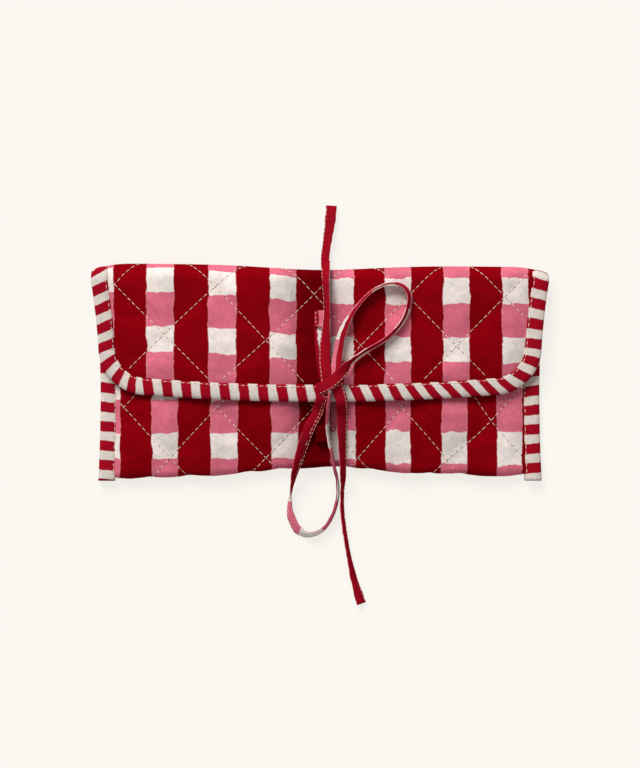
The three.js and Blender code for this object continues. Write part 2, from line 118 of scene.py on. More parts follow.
def noise_of(tree, place, scale, stretch=(1, 1, 1), detail=2, kind="Fac"):
    """Noise at a place, as a value or, of the kind Color, as three."""
    mapping = tree.nodes.new("ShaderNodeMapping")
    mapping.inputs["Scale"].default_value = stretch
    tree.links.new(place, mapping.inputs["Vector"])
    node = tree.nodes.new("ShaderNodeTexNoise")
    node.inputs["Scale"].default_value = scale
    node.inputs["Detail"].default_value = detail
    tree.links.new(mapping.outputs[0], node.inputs["Vector"])
    return node.outputs[kind]


def from_middle(tree, value, pitch):
    """Distance from the nearest multiple of the pitch."""
    return maths(tree, "ABSOLUTE", maths(tree, "WRAP", value, pitch / 2, -pitch / 2))


def uneven(tree, value, spread):
    """Noise as a shade that lies about one, from its darkest to its lightest by that spread."""
    return maths(tree, "MULTIPLY_ADD", value, spread, 1 - spread / 2)


def shifted(tree, value, by, reach):
    """A value moved by noise, half of the reach to either side."""
    return maths(tree, "ADD", value, maths(tree, "MULTIPLY_ADD", by, reach, -reach / 2))


def cloth_map(tree):
    """The piece's own map of its flat cloth, as (place, across, along)."""
    cloth = tree.nodes.new("ShaderNodeUVMap")
    cloth.uv_map = "cloth"
    split = tree.nodes.new("ShaderNodeSeparateXYZ")
    tree.links.new(cloth.outputs[0], split.inputs[0])
    return cloth.outputs[0], split.outputs[0], split.outputs[1]


def dye(tree, shader, colour, shade, *more_shades):
    """Gives a finish its colour, made darker or lighter by each shade."""
    for more in more_shades:
        shade = maths(tree, "MULTIPLY", shade, more)
    tree.links.new(mixed(tree, 1.0, colour, shade, "MULTIPLY"), shader.inputs["Base Color"])


def put(name, data):
    """A new object of that data, in the scene."""
    thing = bpy.data.objects.new(name, data)
    scene.collection.objects.link(thing)
    return thing


# %% [markdown]
# ## Camera
# The photograph looks straight down, with so little perspective that the table and the flap have
# nearly one scale. A long lens far above gives that. An orthographic camera would too, but the
# other views expect a lens.

# %% Camera
photo_rows = 768
photo_scale = 2405  # pixels of the photograph to the metre
picture_height = photo_rows / photo_scale
lens_distance = 1.4
picture_middle = Vector((0, -4.8 * mm, 6 * mm))

camera_data = bpy.data.cameras.new("camera")
camera_data.lens = camera_data.sensor_width * lens_distance / picture_height
camera = put("camera", camera_data)
camera.location = picture_middle + Vector((0, 0, lens_distance))
scene.camera = camera
print("lens, mm:", round(camera_data.lens, 1))

# %% [markdown]
# ## Light and table
# The photograph has soft light from everywhere and a little more from the top left. A pale sky
# gives the first and one wide sun the second, together about strong enough to render a colour as
# it is written. The table is plain and pale. The camera sees most of it as its own colour, so
# that the case's shadow stays as faint as it is in the photograph.

# %% Light and table
sky_share = 0.34
sun_share = 0.66
sun_height = math.radians(41)
sun_turn = math.radians(24)  # from the top of the picture towards its left
sun_spread = math.radians(28)
table_half = 3
table_colour = (0.965, 0.935, 0.885, 1)
own_colour_share = 0.84  # how much of the table the camera sees without any shading

world = bpy.data.worlds.new("studio")
world.use_nodes = True
world.node_tree.nodes["Background"].inputs["Color"].default_value = (1, 1, 1, 1)
world.node_tree.nodes["Background"].inputs["Strength"].default_value = sky_share
scene.world = world

sun_data = bpy.data.lights.new("window", "SUN")
sun_data.energy = sun_share * math.pi / math.sin(sun_height)
sun_data.angle = sun_spread
sun = put("window", sun_data)
towards_sun = Vector((-math.sin(sun_turn) * math.cos(sun_height),
                      math.cos(sun_turn) * math.cos(sun_height), math.sin(sun_height)))
sun.rotation_euler = towards_sun.to_track_quat("Z", "Y").to_euler()

table_mesh = bmesh.new()
bmesh.ops.create_grid(table_mesh, x_segments=1, y_segments=1, size=table_half)
table_data = bpy.data.meshes.new("table")
table_mesh.to_mesh(table_data)
table_mesh.free()
table = put("table", table_data)

table_finish, table_tree, table_shader = new_finish("table", 0.9)
table_shader.inputs["Base Color"].default_value = table_colour
own_colour = table_tree.nodes.new("ShaderNodeEmission")
own_colour.inputs["Color"].default_value = table_colour
rays = table_tree.nodes.new("ShaderNodeLightPath")
seen = maths(table_tree, "MULTIPLY", rays.outputs["Is Camera Ray"], own_colour_share)
table_mix = table_tree.nodes.new("ShaderNodeMixShader")
for socket, value in zip(table_mix.inputs, (seen, table_shader.outputs[0], own_colour.outputs[0])):
    feed(table_tree, socket, value)
feed(table_tree, table_tree.nodes["Material Output"].inputs["Surface"], table_mix.outputs[0])
table_data.materials.append(table_finish)
print("sun energy:", round(sun_data.energy, 2))

# %% [markdown]
# ## Printed cotton
# The cloth has broad red stripes, and between them a column of pink and white checks, all a
# little wavy as block printing is. The pattern is worked out from the cloth's own UV map, in
# metres on the flat cloth, so it bends with the folds. Noise moves the print's edges, and finer
# noise in two directions gives the threads. An image would be simpler and would not be procedural.

# %% Threads of a cloth
threads_across = 2600  # noise to the metre, across the threads and along them
threads_along = 420


def threads(tree, place, shader, depth=0.12):
    """Bump of warp and weft, and a value round one that shades single threads."""
    warp = noise_of(tree, place, 1, (threads_across, threads_along, 1))
    weft = noise_of(tree, place, 1, (threads_along, threads_across, 1))
    weave = maths(tree, "ADD", warp, weft)
    bump = tree.nodes.new("ShaderNodeBump")
    bump.inputs["Strength"].default_value = 0.5
    bump.inputs["Distance"].default_value = depth * mm
    tree.links.new(weave, bump.inputs["Height"])
    tree.links.new(bump.outputs[0], shader.inputs["Normal"])
    return maths(tree, "MULTIPLY_ADD", weave, 0.36, 0.64)


# %% Printed cotton
stripe_pitch = 24.6 * mm
stripe_width = 13.7 * mm
check_pitch = 24.3 * mm
white_height = 10.4 * mm
pink = (0.66, 0.145, 0.21, 1)
off_white = (0.80, 0.71, 0.66, 1)
unprinted = (0.80, 0.42, 0.43, 1)  # a sliver of bare cloth between two inks
stripe_red = (0.228, 0.0009, 0.0042, 1)
tie_red = (0.30, 0.0045, 0.014, 1)
shaded_middle_reach = 9 * mm  # half width of the painted shade on the middle stripe, near the tie
print_waves = (  # noise scale, reach across and reach along
    (120, 2.2 * mm, 3.6 * mm), (520, 0.8 * mm, 1.1 * mm),
)


def printed_cotton(name, red, middle_shade):
    """The print; the last argument is how much painted shade darkens its middle stripe, near the tie."""
    finish, tree, shader = new_finish(name, 0.9)
    place, true_across, along = cloth_map(tree)
    across = true_across
    for scale, sideways, lengthways in print_waves:
        wave = noise_of(tree, place, scale, kind="Color")
        wobble = tree.nodes.new("ShaderNodeSeparateColor")
        tree.links.new(wave, wobble.inputs[0])
        across = shifted(tree, across, wobble.outputs[0], sideways)
        along = shifted(tree, along, wobble.outputs[1], lengthways)
    from_red = from_middle(tree, across, stripe_pitch)
    in_red = below(tree, from_red, stripe_width / 2, 0.14 * mm)
    in_white = below(tree, from_middle(tree, along, check_pitch), white_height / 2, 0.22 * mm)
    edge = maths(tree, "ABSOLUTE", maths(tree, "SUBTRACT", from_red, stripe_width / 2))
    ink = noise_of(tree, place, 420, detail=4)
    patch = noise_of(tree, place, 70, detail=3)
    hairline = maths(tree, "MULTIPLY", below(tree, edge, 0.16 * mm, 0.18 * mm),
                     maths(tree, "MULTIPLY_ADD", patch, 0.9, -0.2))
    check = mixed(tree, in_white, pink, off_white)
    dyed = mixed(tree, in_red, check, red)
    dyed = mixed(tree, hairline, dyed, unprinted)
    # Painted shade: the middle stripe is darkened where the case dips under the tie and lies in its
    # shadow.
    middle = below(tree, maths(tree, "ABSOLUTE", true_across), shaded_middle_reach, shaded_middle_reach)
    dye(tree, shader, dyed, threads(tree, place, shader), uneven(tree, ink, 0.34),
        uneven(tree, patch, 0.56), maths(tree, "MULTIPLY_ADD", middle, -middle_shade, 1))
    return finish


# The cover's print carries that painted shade on its middle stripe; the tie's print has none.
print_finish = printed_cotton("printed_cotton", stripe_red, middle_shade=0.44)
tie_finish = printed_cotton("tie_cotton", tie_red, middle_shade=0)
print("print repeats every", round(stripe_pitch / mm, 1), "by", round(check_pitch / mm, 1), "mm")

# %% [markdown]
# ## Binding, lining, wadding and thread
# The binding is a crimson and white striped cotton folded over the raw edges. Its UV map runs
# along the binding and round its fold, so one stripe formula serves every edge, and the sewing
# can make the stripes lean by leaning the map. The lining and the wadding are plain and pale,
# and the thread is cream. A near black finish is painted shade, in the needle holes and on
# stitches that lie in shadow.

# %% Binding, lining, wadding and thread
band_pitch = 8 * mm
band_white = 3.7 * mm
crimson = (0.315, 0.004, 0.0135, 1)
band_pale = (0.66, 0.585, 0.53, 1)
lining_white = (0.78, 0.72, 0.64, 1)
wadding_white = (0.84, 0.81, 0.76, 1)
cream = (0.90, 0.75, 0.61, 1)
# Painted shade: a near black red that stands for the shade in the needle holes and on stitches that lie in
# shadow.
painted_shade_dark = (0.12, 0.012, 0.02, 1)


def striped_binding():
    finish, tree, shader = new_finish("striped_binding", 0.88)
    place, along, _ = cloth_map(tree)
    slow = noise_of(tree, place, 260)
    wavy = shifted(tree, along, slow, 1.0 * mm)
    pale = below(tree, from_middle(tree, wavy, band_pitch), band_white / 2, 0.2 * mm)
    ink = noise_of(tree, place, 500, detail=4)
    dyed = mixed(tree, pale, crimson, band_pale)
    dye(tree, shader, dyed, threads(tree, place, shader), uneven(tree, ink, 0.3))
    return finish


def plain_cotton(name, colour, roughness, depth):
    finish, tree, shader = new_finish(name, roughness)
    place = tree.nodes.new("ShaderNodeTexCoord").outputs["Object"]
    slub = noise_of(tree, place, 300, detail=4)
    dye(tree, shader, colour, threads(tree, place, shader, depth), uneven(tree, slub, 0.2))
    return finish


binding_finish = striped_binding()
lining_finish = plain_cotton("lining_cotton", lining_white, roughness=0.92, depth=0.12)
wadding_finish = plain_cotton("wadding_fill", wadding_white, roughness=0.98, depth=0.4)
thread_finish = plain_cotton("cream_thread", cream, roughness=0.8, depth=0.2)
# A finish of painted shade, for the needle holes and for shaded stitches.
painted_shade_finish = plain_cotton("painted_shade_marks", painted_shade_dark, roughness=0.95, depth=0.05)
print("finishes:", [m.name for m in bpy.data.materials])

# %% [markdown]
# ## Shape of the case
# These are the outlines and heights that the CAD source is drawn from, in millimetres: the sides
# drawn in at the waist, the two long edges drawn in by the tie, and the fullness of pocket and
# flap. The sizes come from the boxes of the CAD nodes, and the gentle curves are repeated here.

# %% Outline
case_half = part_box("flap_binding")[1].x / mm
bottom_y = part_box("side_binding_left")[0].y / mm
top_y = -bottom_y
fold_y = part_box("spine_cover")[0].y / mm  # the top fold starts here
mouth_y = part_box("mouth_binding")[1].y / mm
flap_low_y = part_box("flap_binding")[0].y / mm
waist_y = -8  # where the sides are drawn in most
waist_draw_in = 3.7
bottom_draw_in = 2.7
right_taper = 1.6  # top and bottom close up by this much at the right end
binding_overhang = 0.6  # side bindings run past the bottom fold
bottom_arch = 1.5
bottom_notch = 2.9  # drawn up by the tie, as the top is drawn down
top_notch = 2
notch_reach = 30
binding_thickness = 0.6
corner_drop = 2.6  # the top fold falls at its two ends
corner_drop_reach = 16
sheet_thickness = 2.4
quilt_puff = 0.7
bottom_fold = 3.4
seam_room = 0.3  # height of the space inside at the side seams, at the bottom fold and in the middle
fold_room = 1.2
pocket_room = 6.2
fill_reach = 32  # the front rises to its full height in this distance
flap_clearance = 1
band_reach = 7.6  # how far in from an edge its binding reaches


def smooth(low, high, value):
    """Smooth step from zero at low to one at high."""
    share = min(1, max(0, (value - low) / (high - low)))
    return share * share * (3 - 2 * share)


def half_width(y):
    if y > waist_y:
        share = min(1, (y - waist_y) / (fold_y - waist_y))
        return case_half - waist_draw_in * (1 - share * share)
    share = (waist_y - y) / (waist_y - bottom_y)
    return case_half - waist_draw_in + (waist_draw_in - bottom_draw_in) * share * share


def notch(x):
    return math.exp(-((x / notch_reach) ** 2))


def right_share(x):
    return (x / case_half + 1) / 2


def bottom_edge(x):
    arch = bottom_arch * (1 - (x / case_half) ** 2)
    return bottom_y + binding_overhang + right_taper * right_share(x) + arch + bottom_notch * notch(x)


def top_edge(x):
    past = max(0, abs(x) - (case_half - corner_drop_reach)) / corner_drop_reach
    return (top_y + binding_thickness / 2 - right_taper * right_share(x) - top_notch * notch(x)
            - corner_drop * past * past)


def crown(x, y):
    """Fullness across the case: one in the middle and zero at the side bands."""
    return 1 - min(1, abs(x) / (half_width(y) - band_reach)) ** 4


def front_height(x, y):
    rise = min(1, max(0, (y - bottom_edge(x) - bottom_fold) / fill_reach))
    room = fold_room + (pocket_room - fold_room) * math.sin(rise * math.pi / 2)
    return 2 * sheet_thickness + seam_room + (room - seam_room) * crown(x, y)


def flap_height(x, y):
    room = seam_room + (pocket_room - seam_room) * crown(x, y)
    return 3 * sheet_thickness + room + quilt_puff + flap_clearance


print("case, mm:", round(2 * case_half, 1), "by", round(top_y - bottom_y, 1))

# %% [markdown]
# ## The tie: tape, loops, tails and knot
# The tie is a tape folded from the same print and sewn along its open edge. Its strands are free
# cords, so they come first: each follows a route near the one in the CAD source, and turns nearly
# on its edge where it loops or hangs. A curve with a bevel could make them, but a grid wrapped
# round the route also gives the tape its own UV map, so the print runs along it.

# %% Route and tape
tape_width = 4.8
tape_thickness = 1.0
flap_top = flap_height(0, 0) + quilt_puff
on_table = 0.8  # middle of a tape that lies flat, over what it lies on
on_flap = flap_top + on_table
on_edge_flap = flap_top + 2.7  # and of one that stands on its edge
over_anchor = flap_top + 3.1
over_edge = on_flap + 0.5
over_knot = flap_top + 4.9


def on_front(y):
    return front_height(0, y) + 1.5


def on_edge_front(y):
    return front_height(0, y) + 3.4


def spline(points, t):
    """A point and its direction on a smooth curve through the points, for t from 0 to 1."""
    last = len(points) - 2
    place = t * (len(points) - 1)
    i = min(last, int(place))
    f = place - i
    before = points[i - 1] if i else points[0] * 2 - points[1]
    after = points[i + 2] if i < last else points[-1] * 2 - points[-2]
    a, b = points[i], points[i + 1]
    here = (a * 2 + (b - before) * f + (before * 2 - a * 5 + b * 4 - after) * f * f
            + (a * 3 - before - b * 3 + after) * f * f * f) / 2
    heading = ((b - before) + (before * 2 - a * 5 + b * 4 - after) * 2 * f
               + (a * 3 - before - b * 3 + after) * 3 * f * f) / 2
    return here, heading


fine_steps = 400


def stations(route, side=None, step=0.9):
    """Even stops (place, along, across, out, length) on a route of x, y, z in mm and roll in degrees."""
    points = [Vector(stop) for stop in route]
    fine = [spline(points, i / fine_steps) for i in range(fine_steps + 1)]
    lengths = [0]
    for (a, _), (b, _) in zip(fine, fine[1:]):
        lengths.append(lengths[-1] + (b.to_3d() - a.to_3d()).length)
    count = max(4, round(lengths[-1] / step))
    made, k = [], 0
    for n in range(count + 1):
        goal = lengths[-1] * n / count
        while k < fine_steps - 1 and lengths[k + 1] < goal:
            k += 1
        share = (goal - lengths[k]) / (lengths[k + 1] - lengths[k])
        here = fine[k][0].lerp(fine[k + 1][0], share)
        along = fine[k][1].lerp(fine[k + 1][1], share).to_3d().normalized()
        level = side - along * side.dot(along) if side else along.cross(upward)
        level.normalize()
        lift = level.cross(along)
        roll = math.radians(here[3])
        across = level * math.cos(roll) + lift * math.sin(roll)
        made.append((here.to_3d(), along, across, across.cross(along), goal))
    return made


def placed(wide, high, place, cloth_place):
    """A grid whose points k, n are moved to place(k, n), with cloth_place(k, n) as UV, both in mm."""
    mesh = bmesh.new()
    bmesh.ops.create_grid(mesh, x_segments=wide, y_segments=high, size=0.5)
    cloth = mesh.loops.layers.uv.new("cloth")
    count = {v: (round((v.co.x + 0.5) * wide), round((v.co.y + 0.5) * high)) for v in mesh.verts}
    spot = {v: Vector(place(*count[v])) * mm for v in mesh.verts}
    for face in mesh.faces:
        for loop in face.loops:
            loop[cloth].uv = Vector(cloth_place(*count[loop.vert])) * mm
    for vert in mesh.verts:
        vert.co = spot[vert]
    return mesh


def piece_of(mesh, name, finish):
    data = bpy.data.meshes.new(name)
    mesh.to_mesh(data)
    mesh.free()
    data.materials.append(finish)
    data.shade_smooth()
    return put(name, data)


merge_distance = 0.002 * mm


def closed_tube(mesh):
    """Joins a grid's long edges into a tube and closes its two ends."""
    bmesh.ops.remove_doubles(mesh, verts=mesh.verts, dist=merge_distance)
    bmesh.ops.holes_fill(mesh, edges=[e for e in mesh.edges if e.is_boundary])
    bmesh.ops.recalc_face_normals(mesh, faces=mesh.faces)
    return mesh


tape_sides = 20  # points round the tape's section


def tape_edge(k):
    """Across and through, in mm, of point k of the tape's section: a flat oval with full edges."""
    angle = 2 * math.pi * k / tape_sides
    across, through = math.cos(angle), math.sin(angle)
    return (math.copysign(abs(across) ** 0.55, across) * tape_width / 2,
            math.copysign(abs(through) ** 0.7, through) * tape_thickness / 2)


tape_around = [0]
for k in range(tape_sides):
    tape_around.append(tape_around[-1] + math.dist(tape_edge(k), tape_edge(k + 1)))
half_face = tape_around[tape_sides // 4]
tape_around = [length - half_face for length in tape_around]  # from the middle of the upper face


def tape(name, route, print_x, print_y, side=None, drift=0, finish=tie_finish):
    """A tape along a route, cut from the print with its middle at print_x, in mm; its end may drift."""
    path = stations(route, side)

    def place(k, n):
        here, _, across, out, goal = path[n]
        wide, through = tape_edge(k % tape_sides)
        at = print_y + goal
        ripple = 0.2 * noise.noise((at * 0.35, wide * 0.4, print_x + 3))
        waver = 1 + 0.14 * noise.noise((at * 0.3, math.copysign(4, wide), print_x))
        return here + across * wide * waver + out * (through + ripple)

    def cloth_place(k, n):
        middle = print_x + drift * smooth(0.8, 0.92, n / (len(path) - 1))
        return middle + tape_around[k], print_y + path[n][4]

    mesh = closed_tube(placed(tape_sides, len(path) - 1, place, cloth_place))
    piece = piece_of(mesh, name, finish)
    print(name, "length, mm:", round(path[-1][4], 1))
    return piece, path


# %% [markdown]
# ### Stitches
# Every stitch is one small bead of thread, drawn out along its line and lying on the cloth. A
# line of stitches is one mesh, because hundreds of loose objects would be slow. The tie is sewn
# with a finer thread than the quilting and the bindings.

# %% Stitches
thread_size = (0.26, 0.22)  # width and height of a stitch
fine_thread = (0.2, 0.16)
tape_stitch = (1.8, 1.6)  # from one stitch to the next, and the length of one
box_stitch = (1.8, 1.35)
quilt_stitch = (2.7, 2.5)
band_stitch = (2.5, 2.25)
tape_face = 0.46  # where a stitch lies on the tape, from the middle of its thickness


def stitched(name, ends, finish, size=thread_size):
    """One mesh of stitches; each has a start, an end and the direction out of the cloth, in mm."""
    width, height = size
    mesh = bmesh.new()
    for start, end, out in ends:
        along = end - start
        side = out.cross(along).normalized()
        up = along.cross(side).normalized()
        shape = (Matrix((along, side * width, up * height)).transposed() * (mm / 2)).to_4x4()
        shape.translation = (start + end) / 2 * mm
        bmesh.ops.create_icosphere(mesh, subdivisions=1, radius=1, matrix=shape)
    piece = piece_of(mesh, name, finish)
    print(name, len(ends), "stitches")
    return piece


def along_line(line, stitch, first=0.4):
    """Stitches laid evenly along a line of (point, direction out of the cloth), in mm."""
    pitch, length = stitch
    ends, start, done, goal = [], None, 0, first
    for (a, out), (b, _) in zip(line, line[1:]):
        step = max(1e-6, (b - a).length)
        while goal <= done + step:
            spot = a.lerp(b, (goal - done) / step)
            if start is None:
                start, goal = spot, goal + length
            else:
                ends.append((start, spot, out))
                start, goal = None, goal + pitch - length
        done += step
    return ends


def edge_stitches(path, wide, face=1):
    """A line of stitches on a tape, at that place across its width, on its upper face or its lower, -1."""
    return along_line([(here + across * wide + out * tape_face * face, out * face)
                       for here, _, across, out, _ in path], tape_stitch)


# %% [markdown]
# ### Upper tail and loops
# The upper tail leaves the knot, runs up the flap, hugs the top fold and lies on the table
# behind it. One piece follows the flap and the fold, and the next one the fold and the pocket.
# The two lower strands hang from the knot over the pocket's front.

# %% Upper tail and loops
tail_x = 2.4
tail_roll = 48
tail_gap = 2.1  # from the fold to the middle of the tail, which stands nearly on its edge
bend_reach = top_edge(0) - fold_y + tail_gap
fold_middle = flap_height(0, fold_y) / 2
bend_rise = fold_middle + tail_gap


def round_fold(degrees):
    """A stop of the tail's route on its way round the fold; 0 degrees is the fold's outer line."""
    angle = math.radians(degrees)
    y = fold_y + bend_reach * math.cos(angle)
    return tail_x, y, fold_middle + bend_rise * math.sin(angle), tail_roll


upper_tail_route = [
    (2.8, -4.2, on_flap + 2.2, 0),
    (2.3, 0.6, on_flap + 2.3, 4),
    (1.9, 5, on_flap + 1.9, 6),
    (2.2, 12, on_flap + 1.9, 28),
    (2.6, 19, over_anchor + 0.6, 52),
    (2.9, 25, over_anchor + 0.6, 61),
    (2.7, 31, on_flap + 1.9, 63),
    (2.4, 37.3, on_flap + 1.4, 56),
    *map(round_fold, (66, 50, 34, 17, 0)),
]
tail_end_route = [
    *map(round_fold, (0, -17, -32)),
    (2.3, 44.2, 3.0, 46),
    (2.1, 46, 2.1, 46),
    (2.2, 48.6, 2.1, 46),
    (2.7, 52.6, 2.1, 45),
    (3.4, 57, 1.9, 38),
    (4.2, 63, 1.6, 28),
    (4.8, 69.6, on_table + 0.7, 20),
]
upper_loop_route = [
    (5.4, -3.4, on_flap + 2.6, 20),
    (6.4, 2, on_flap + 2.8, 36),
    (7.4, 9, on_edge_flap - 0.2, 38),
    (9.4, 17, on_edge_flap, 50),
    (14.4, 26, on_edge_flap, 74),
    (21.6, 33.5, on_edge_flap, 84),
    (29, 36.6, on_edge_flap, 84),
    (34.6, 35.4, on_edge_flap, 74),
    (37.0, 30.6, on_edge_flap, 68),
    (34.6, 22, on_edge_flap, 72),
    (28, 14.4, on_edge_flap, 74),
    (19, 8.8, on_edge_flap, 74),
    (13.2, 4.6, on_edge_flap + 0.4, 64),
    (10.0, 1.2, over_knot - 0.2, 36),
    (7.0, -2.0, over_knot, 8),
    (3.4, -4.9, over_knot, 0),
    (0.1, -6.5, over_knot - 1.2, -6),
    (-0.8, -7.0, over_knot - 2.6, -8),
]
lower_loop_route = [
    (1.8, -6.8, over_edge + 1.4, 0),
    (0.5, -10.95, over_edge + 0.8, 0),
    (-1.0, -16.4, on_front(-16.4) + 2, 0),
    (-4.8, -23.9, on_front(-23.9) + 2, 16),
    (-7.8, -32.6, on_front(-32.6) + 1, 32),
    (-9.6, -38.8, 8.2, 48),
    (-11, -43.8, 5.2, 68),
    (-12.2, -49.6, 3.2, 86),
    (-12.6, -55, 2.7, 106),
    (-12.0, -60, 2.4, 128),
    (-9.4, -65.4, 2.2, 134),
    (-4.6, -67.7, 2.6, 112),
    (1, -65.6, 2.7, 104),
    (5.2, -59.6, 2.7, 99),
    (7.3, -52, 3.1, 96),
    (7.2, -45, 5, 96),
    (5.9, -39.4, 8.8, 98),
    (4.6, -33, on_edge_front(-33) + 0.2, 102),
    (3.0, -23.4, on_edge_front(-23.4), 104),
    (3.2, -15, over_edge - 0.6, 102),
    (3.8, -10.2, over_edge + 0.9, 100),
    (4.2, -6.4, over_edge + 1.2, 96),
]
lower_tail_route = [
    (6.4, -4.6, over_edge + 1.4, 0),
    (8.2, -9.1, over_edge + 0.9, 0),
    (8.9, -12.8, over_edge + 0.4, 6),
    (9.1, -17.6, on_front(-17.6) + 1.2, 22),
    (9.1, -25, on_front(-25) + 1.2, 42),
    (9.3, -33.2, on_front(-33.2) + 1.3, 52),
    (9.5, -39, 8.6, 58),
    (9.6, -44, 5.4, 66),
    (9.2, -49.6, 3.4, 74),
    (9.2, -57, 2.8, 76),
    (10.2, -66, 2.8, 74),
    (12, -77, 2.6, 70),
    (14.4, -87, 2.3, 56),
    (17.2, -96.4, 1.85, 34),
]


def on_pocket(piece):
    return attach(piece, "pocket")


def fold_to_flap(piece):
    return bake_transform(piece)


def fold_to_pocket(piece):
    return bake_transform(piece)


def behind_the_fold(piece):
    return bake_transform(piece)


def below_the_knot(piece):
    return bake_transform(piece)


def strand(name, route, print_at, far_end, follow, *nodes, side=None, drift=0, seams=(-1.9,)):
    """One free strand of the tie and its seams, in place of those CAD nodes. Returns its length."""
    piece, path = tape(name, route, *print_at, side, drift)
    centres = [station[0] * mm for station in path]
    follow(piece)
    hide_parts(*nodes)
    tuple(centres[0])
    edges = [end for wide in seams for face in (-1, 1) for end in edge_stitches(path, wide, face)]
    follow(stitched(name + "_stitches", edges, thread_finish, fine_thread))
    return path[-1][4]


tail_side = Vector((1, 0, 0))  # the tail runs up, over and down the fold, so level is along the case
tail_print_y = 3
tail_length = strand("upper_tail_tape", upper_tail_route, (0, tail_print_y), "object", fold_to_flap,
                     "upper_tail", "upper_tail_bend", side=tail_side)
strand("tail_end_tape", tail_end_route, (0, tail_print_y + tail_length), "bare", behind_the_fold,
       "upper_tail_end", side=tail_side)
strand("upper_loop_tape", upper_loop_route, (7.0, 2), "object", fold_to_flap, "upper_loop", drift=-3.6)
strand("lower_loop_tape", lower_loop_route, (3.3, 1), "object", below_the_knot, "lower_loop",
       seams=(-1.95, -1.0))
strand("lower_tail_tape", lower_tail_route, (0.5, 0), "bare", below_the_knot, "lower_tail")

# %% [markdown]
# ### Sewn ends and knot
# Each tie is sewn down by a folded end with a box of stitches. The knot is one turn of the tape
# drawn tight round the strands, and the upper loop's second strand runs over it. A sphere would
# read as a bead, so the turn is wrapped as a closed ring round a soft core, and it narrows where
# it goes under.

# %% Sewn ends
fold_lift = 1.85  # from the cloth to the middle of a folded end
box_side = 1.8
box_end = 1.9
strand_print = (0.4, -20.7)  # where a strand is cut from the print, seen from its folded end


def sewn_end(name, follow, fold_route, strand_route, print_at, finish, thread):
    """A folded end with its box of stitches, and the strand that comes out from under it."""
    print_x, print_y = print_at
    fold, path = tape(name + "_fold", fold_route, print_x, print_y, finish=finish)
    tie, _ = tape(name + "_tape", strand_route, print_x + strand_print[0], print_y + strand_print[1],
                  finish=finish)
    box = edge_stitches(path, -box_side) + edge_stitches(path, box_side)
    for here, _, across, out, _ in (path[1], path[-2]):
        corners = [(here + across * wide + out * tape_face, out) for wide in (-box_end, box_end)]
        box += along_line(corners, box_stitch)
    for piece in (fold, tie, stitched(name + "_box_stitches", box, thread, fine_thread)):
        follow(piece)
    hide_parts(name + "_anchor")
    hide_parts(name)


sewn_end("flap_tie", fold_to_flap,
         [(0.0, y, flap_top + fold_lift, 0) for y in (25.5, 22, 18.5)],
         [(0.0, 25, flap_top + 0.7, 0), (-0.1, 18.2, on_flap, 0), (0.2, 12, on_flap, 10),
          (0.9, 5, on_flap + 0.2, 20), (1.6, 0.4, on_flap + 0.4, 10), (2.6, -4, on_flap + 1, 0)],
         (7.4, 9), tie_finish, thread_finish)
# Painted shade: the body tie is dressed in the print's finish, so it takes the painted shade of the middle
# stripe. Its box of stitches gets the dark finish of painted shade, as it lies in the strands' shadow.
sewn_end("body_tie", on_pocket,
         [(0.6, y, on_front(y) - 0.8 + fold_lift, 0) for y in (-22, -25.5, -29)],
         [(0.6, -28.5, on_front(-28.5) - 0.1, 0), (0.6, -21.7, on_front(-21.7), 0),
          (0.8, -18, on_front(-18), 0), (1, -14, on_front(-14), 0)],
         (0, 0), print_finish, painted_shade_finish)

# %% Knot
knot_middle = Vector((4.2, -4.9, flap_top + 2.4))
knot_turn = math.radians(27)
knot_along = Vector((math.cos(knot_turn), math.sin(knot_turn), 0))
knot_across = Vector((-math.sin(knot_turn), math.cos(knot_turn), 0))
knot_half = 5.6
knot_rise = 1.9
knot_core = Vector((4.9, 3.1, 1.8))  # half sizes of the soft core
knot_rows = 64
shown_rows = range(4, 31)  # the upper side of the turn


def knot_path(n):
    angle = 2 * math.pi * n / knot_rows
    reach, rise = math.cos(angle), math.sin(angle)
    here = knot_middle + knot_along * knot_half * reach + upward * knot_rise * rise
    out = knot_along * knot_rise * reach + upward * knot_half * rise
    return here, out.normalized(), angle


def knot_place(k, n):
    here, out, angle = knot_path(n % knot_rows)
    wide, through = tape_edge(k % tape_sides)
    pinch = 1.02 - 0.2 * math.cos(angle)
    sag = -0.6 * (wide / (tape_width / 2)) ** 2
    crease = 0.3 * noise.noise((angle * 2.2, wide * 0.9, 4))
    return here + knot_across * wide * pinch + out * (through + sag + crease)


knot_mesh = placed(tape_sides, knot_rows, knot_place, lambda k, n: (tape_around[k], 5 + n * 0.4))
bmesh.ops.remove_doubles(knot_mesh, verts=knot_mesh.verts, dist=merge_distance)
core = bmesh.ops.create_icosphere(knot_mesh, subdivisions=3, radius=1)["verts"]
for vert in core:
    size = vert.co * knot_core
    vert.co = (knot_middle + knot_along * size.x + knot_across * size.y + upward * size.z) * mm
bmesh.ops.recalc_face_normals(knot_mesh, faces=knot_mesh.faces)
knot = piece_of(knot_mesh, "knot_band", tie_finish)
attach(knot, "flap")
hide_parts("bow_knot")

knot_line = []
for row in shown_rows:
    here, out, angle = knot_path(row)
    knot_line.append((here - knot_across * (2.15 - 0.42 * math.cos(angle)) + out * 0.1, out))
knot_seam = stitched("knot_stitches", along_line(knot_line, box_stitch), thread_finish, fine_thread)
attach(knot_seam, "flap")

# %% [markdown]
# ## The quilted cloth
# The case is one strip of print, wadding and lining, sewn through along diagonal lines. It is
# modelled as it is made: a flat grid is the cloth, and each of its points is put where that bit
# of the strip lies, on the flap, round a fold or on the back. Between the stitch lines the cloth
# puffs up and along them it is drawn in. A simulated pillow for each diamond would puff too, but
# it would lose the cloth's map and with it the print. The print and the quilting share the map,
# which is drawn together in the middle, where the tie gathers the case.

